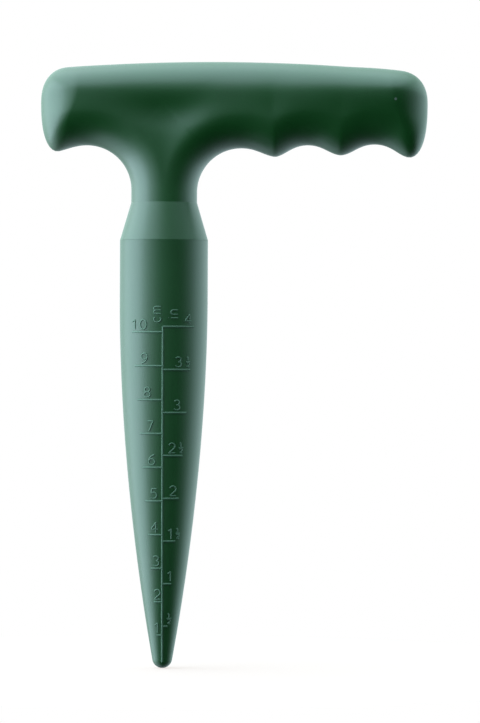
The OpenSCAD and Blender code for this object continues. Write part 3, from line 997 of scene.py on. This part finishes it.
def side_ribs(end):
    """Ribs of one side, from the spike's rim up the neck and along the arm to its end."""
    n, eighth = FILLET_STEPS, math.pi / 4
    neck = [SPIKE_H] + steps(SPIKE_H, FLARE_Z, FLARE_STEPS) + steps(FLARE_Z, FILLET_Z, NECK_STEPS)
    ribs = [(0, z, 1, 0) for z in neck]
    low = steps(FILLET_Z, MID_Z, n)
    ribs += [toward((0, low[i]), fillet_point(eighth * (i + 1) / n)) for i in range(n)]
    ribs += [toward((INNER_XS[i], MID_Z), fillet_point(eighth * (1 + (i + 1) / n))) for i in range(n)]
    ribs += [(x, MID_Z, 0, -1) for x in arm_xs(end)]
    fan = [math.pi * (i / FAN - 0.5) for i in range(1, FAN)]
    return ribs + [(end, MID_Z, math.cos(a), math.sin(a)) for a in fan]


INNER_XS = steps(0, FILLET_X, FILLET_STEPS)
SPINE_INSET = ROUND_TOP + GRIP_H / 8
LONG_END, SHORT_END = LONG - SPINE_INSET, max(FILLET_X + 1, SHORT - SPINE_INSET)
top_xs = arm_xs(LONG_END)[::-1] + INNER_XS[::-1] + [0] + [-x for x in INNER_XS + arm_xs(SHORT_END)]
mirrored_ribs = [(-x, z, -dx, dz) for x, z, dx, dz in side_ribs(SHORT_END)[::-1]]
RIBS = np.array(side_ribs(LONG_END) + [(x, MID_Z, 0, 1) for x in top_xs] + mirrored_ribs, float)
print("ribs:", len(RIBS))

# %% Section of a half shell
OUTER_STEPS = 41
INNER_STEPS = 13


def rib_points(lengths, depths):
    """Points at lengths along each rib and depths along Y, as an array of ribs by points by 3."""
    x = RIBS[:, 0:1] + lengths * RIBS[:, 2:3]
    z = RIBS[:, 1:2] + lengths * RIBS[:, 3:4]
    return np.stack([x, np.broadcast_to(depths, x.shape), z], axis=2)


def shell_points(side):
    """Points on every rib, from the outer skin over the stepped rim into the hollow."""
    outer = np.radians(np.linspace(90, 0, OUTER_STEPS))
    inner = np.radians(np.linspace(0, 90, INNER_STEPS))
    out_l, in_l = ray_length(RIBS, outer, 0), ray_length(RIBS, inner, GRIP_WALL)
    rim, bore = out_l[:, -1:], in_l[:, :1]
    lap = (rim + bore) / 2
    step = LAP_H + LAP_FIT
    if side < 0:
        rim_l = [rim, rim - RIM_EDGE, lap + LAP_FIT, lap + LAP_FIT, bore]
        rim_y = [-RIM_EDGE, 0, 0, -step, -step]
    else:
        rim_l = [rim, rim - RIM_EDGE, lap, lap, bore, bore]
        rim_y = [RIM_EDGE, 0, 0, -LAP_H, -LAP_H, 0]
    return np.concatenate(
        [
            rib_points(out_l[:, :-1] * np.cos(outer[:-1]), side * out_l[:, :-1] * np.sin(outer[:-1])),
            rib_points(np.hstack(rim_l), np.array(rim_y)),
            rib_points(in_l[:, 1:] * np.cos(inner[1:]), side * in_l[:, 1:] * np.sin(inner[1:])),
        ],
        axis=1,
    )


print("steps over a rib:", OUTER_STEPS, "outside,", INNER_STEPS, "inside")

# %% Mesh of a half shell
SEAM_NEAR = 0.001 * MM
SMOOTH_UP_TO = math.radians(35)
CREASE_NEAR = 1e-6


def half_shell(name, side, plastic):
    points = shell_points(side)
    ribs, n = points.shape[:2]
    quads = [
        (i * n + k, (i + 1) * n + k, (i + 1) * n + k + 1, i * n + k + 1)
        for i in range(ribs - 1)
        for k in range(n - 1)
    ]
    caps = [tuple(range(n))[::-1], tuple(range((ribs - 1) * n, ribs * n))]
    mesh = bpy.data.meshes.new(name)
    mesh.from_pydata((points.reshape(-1, 3) * MM).tolist(), [], quads + caps)
    work = bmesh.new()
    work.from_mesh(mesh)
    bmesh.ops.remove_doubles(work, verts=work.verts, dist=SEAM_NEAR)
    bmesh.ops.recalc_face_normals(work, faces=work.faces)
    open_edges = sum(len(e.link_faces) != 2 for e in work.edges)
    work.to_mesh(mesh)
    work.free()
    mesh.polygons.foreach_set("use_smooth", [True] * len(mesh.polygons))
    mesh.set_sharp_from_angle(angle=SMOOTH_UP_TO)
    # The top of the cone is a crease, though its bend is slight
    on_crease = [abs(v.co.z - FLARE_Z * MM) < CREASE_NEAR for v in mesh.vertices]
    for edge in mesh.edges:
        edge.use_edge_sharp |= all(on_crease[v] for v in edge.vertices)
    mesh.materials.append(plastic)
    piece = bpy.data.objects.new(name, mesh)
    scene.collection.objects.link(piece)
    print(name, "faces:", len(mesh.polygons), "open edges:", open_edges)
    return piece


grip_front = half_shell("grip_front", -1, grip_plastic)
grip_rear = half_shell("grip_rear", 1, grip_plastic)

# %% [markdown]
# ## Hand over
#
# Every piece rides on the part's one rigid body. The CAD solids of the three main pieces are hidden, and
# the new pieces show in their place. The three main pieces stand for their CAD solids, which stay for
# collision. The boxes of the CAD part and of the finished look are printed side by side. The look may not
# change the object's size.

# %% Ride, replace and measure
for piece, material_slot in (
    (spike_body, "spike"),
    (depth_marks, "spike"),
    (depth_numerals, "spike"),
    (grip_front, "grip"),
    (grip_rear, "grip"),
):
    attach(piece, "root")
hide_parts("spike")
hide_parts("grip_front_shell")
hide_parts("grip_rear_shell")

boxes = {"cad": cad_box, "visual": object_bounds()}
boxes = {name: [[float(v) for v in corner] for corner in box] for name, box in boxes.items()}
print("boxes:", boxes)
